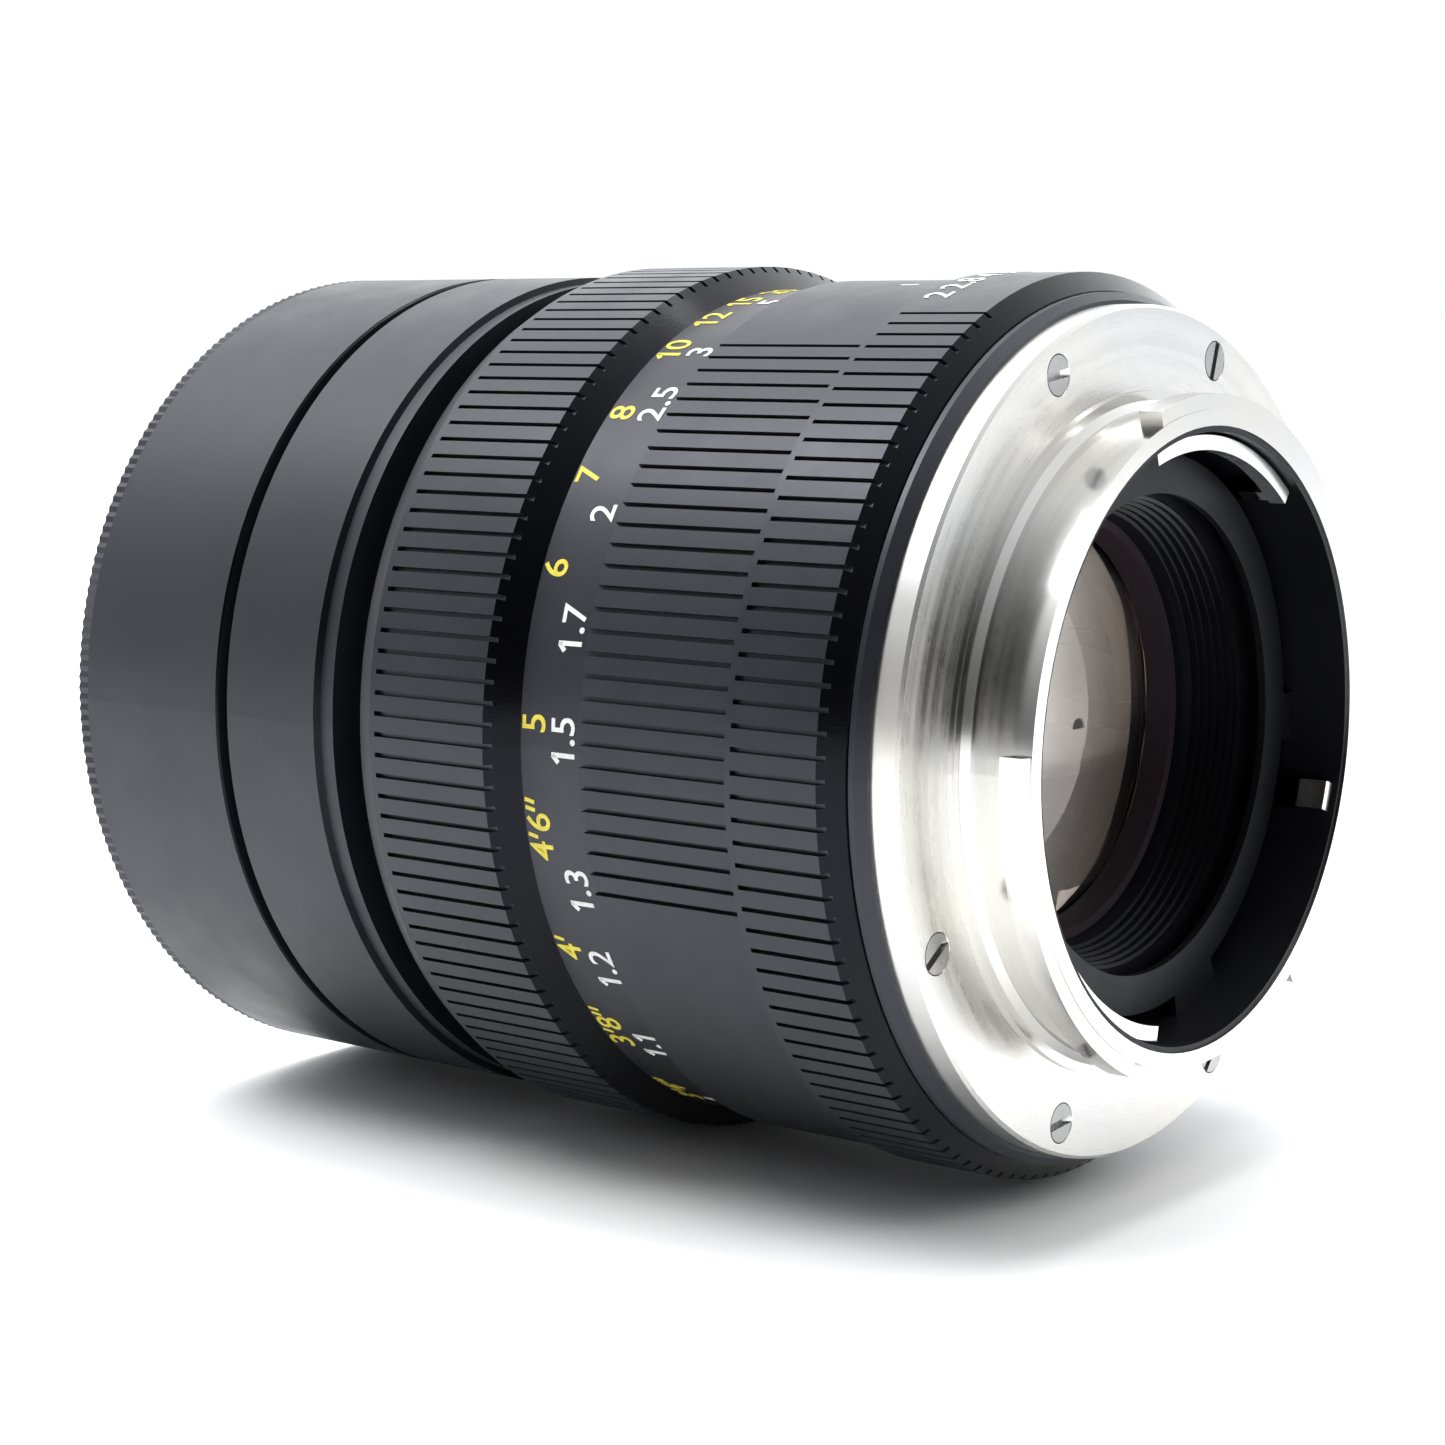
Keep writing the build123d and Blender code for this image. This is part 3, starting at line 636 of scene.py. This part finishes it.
class LENS_OT_studio(bpy.types.Operator):
    """Stand the lens on a pale floor in soft studio light, with the camera behind its right shoulder."""
    bl_idname = "lens.studio"
    bl_label = "Studio"

    def execute(self, context):
        low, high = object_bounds()
        floor_z = Vector(low).z
        bpy.ops.object.select_all(action="DESELECT")
        bpy.ops.mesh.primitive_plane_add(size=30.0, location=(0, 0, floor_z))
        floor = context.object
        floor.name = "studio_floor"
        material, shader = new_material("pale_floor")
        place = object_place(material)
        paper = noise(material, place, 9.0, 3.0)
        join(material, two_colours(material, paper, (0.94, 0.94, 0.94, 1), (0.96, 0.96, 0.96, 1)),
             shader.inputs["Base Color"])
        shader.inputs["Roughness"].default_value = 0.6
        shader.inputs["Specular IOR Level"].default_value = 0.2
        floor.data.materials.append(material)
        floor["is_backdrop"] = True

        world = bpy.data.worlds.new("studio_air")
        world.use_nodes = True
        self.light_air(world.node_tree)
        context.scene.world = world

        self.soft_box(context, "key_light", (0.30, -0.35, 0.85), 0.5, 0.5, 7.0)
        self.soft_box(context, "rear_light", (-0.45, 0.65, 0.45), 0.4, 0.3, 1.5)
        self.soft_box(context, "top_light", (-0.15, -0.05, 0.9), 0.5, 0.5, 5.0)

        data = bpy.data.cameras.new("studio_camera")
        data.lens = 74.53
        data.sensor_width = 36.0
        data.clip_start = 0.005
        camera = bpy.data.objects.new("studio_camera", data)
        context.scene.collection.objects.link(camera)
        right = Vector((-0.61479, 0.78869, 0.0)).normalized()
        back = Vector((0.78181, 0.60943, 0.13179)).normalized()
        up = back.cross(right)
        camera.matrix_world = (Matrix.Translation((0.19460, 0.11203, 0.03047))
                               @ Matrix((right, up, back)).transposed().to_4x4())
        context.scene.camera = camera
        context.scene.view_settings.view_transform = "Standard"
        return {"FINISHED"}

    def light_air(self, tree):
        """White all round for the eye, but dim light from the side the lens is seen from."""
        nodes, links = tree.nodes, tree.links
        sky = nodes["Background"]
        sky.inputs["Color"].default_value = (0.97, 0.98, 1.0, 1)
        place = nodes.new("ShaderNodeTexCoord")
        toward = nodes.new("ShaderNodeVectorMath")
        toward.operation = "DOT_PRODUCT"
        toward.inputs[1].default_value = (0.962, 0.253, -0.101)
        links.new(place.outputs["Generated"], toward.inputs[0])
        dim = nodes.new("ShaderNodeMapRange")
        dim.interpolation_type = "SMOOTHSTEP"
        dim.inputs["From Min"].default_value = -0.15
        dim.inputs["From Max"].default_value = 0.85
        dim.inputs["To Min"].default_value = 1.9
        dim.inputs["To Max"].default_value = 0.03
        links.new(toward.outputs["Value"], dim.inputs["Value"])
        behind = nodes.new("ShaderNodeSeparateXYZ")
        links.new(place.outputs["Generated"], behind.inputs[0])
        calm = nodes.new("ShaderNodeMapRange")
        calm.interpolation_type = "SMOOTHSTEP"
        calm.inputs["From Min"].default_value = -0.25
        calm.inputs["From Max"].default_value = 0.55
        calm.inputs["To Min"].default_value = 1.0
        calm.inputs["To Max"].default_value = 0.5
        links.new(behind.outputs["Y"], calm.inputs["Value"])
        both = nodes.new("ShaderNodeMath")
        both.operation = "MULTIPLY"
        links.new(dim.outputs["Result"], both.inputs[0])
        links.new(calm.outputs["Result"], both.inputs[1])
        path = nodes.new("ShaderNodeLightPath")
        seen = nodes.new("ShaderNodeMix")
        seen.inputs["B"].default_value = 1.05
        links.new(path.outputs["Is Camera Ray"], seen.inputs["Factor"])
        links.new(both.outputs[0], seen.inputs["A"])
        links.new(seen.outputs["Result"], sky.inputs["Strength"])

    def soft_box(self, context, name, place, width, height, power):
        data = bpy.data.lights.new(name, "AREA")
        data.shape = "RECTANGLE"
        data.size = width
        data.size_y = height
        data.energy = power
        lamp = bpy.data.objects.new(name, data)
        context.scene.collection.objects.link(lamp)
        lamp.location = place
        toward_lens = Vector((0.0, -0.037, 0.0)) - lamp.location
        lamp.rotation_euler = toward_lens.to_track_quat("-Z", "Y").to_euler()


class LENS_PT_sidebar(bpy.types.Panel):
    """The steps of the build and their settings."""
    bl_idname = "LENS_PT_sidebar"
    bl_label = "Prime lens"
    bl_space_type = "VIEW_3D"
    bl_region_type = "UI"
    bl_category = "Prime lens"

    def draw(self, context):
        layout = self.layout
        for group in (context.scene.lens_finish, context.scene.lens_scale):
            for name in group.__annotations__:
                layout.prop(group, name)
        for step in STEPS:
            layout.operator(step.bl_idname)


STEPS = (LENS_OT_finish_pieces, LENS_OT_distance_numbers, LENS_OT_depth_marks,
         LENS_OT_aperture_numbers, LENS_OT_studio)
CLASSES = (LensFinishSettings, LensScaleSettings) + STEPS + (LENS_PT_sidebar,)


def register():
    for kind in CLASSES:
        bpy.utils.register_class(kind)
    bpy.types.Scene.lens_finish = bpy.props.PointerProperty(type=LensFinishSettings)
    bpy.types.Scene.lens_scale = bpy.props.PointerProperty(type=LensScaleSettings)


def unregister():
    del bpy.types.Scene.lens_scale
    del bpy.types.Scene.lens_finish
    for kind in reversed(CLASSES):
        bpy.utils.unregister_class(kind)


def main():
    register()
    bpy.ops.lens.finish_pieces()
    bpy.ops.lens.distance_numbers()
    bpy.ops.lens.depth_marks()
    bpy.ops.lens.aperture_numbers()
    bpy.ops.lens.studio()


if __name__ == "__main__":
    main()
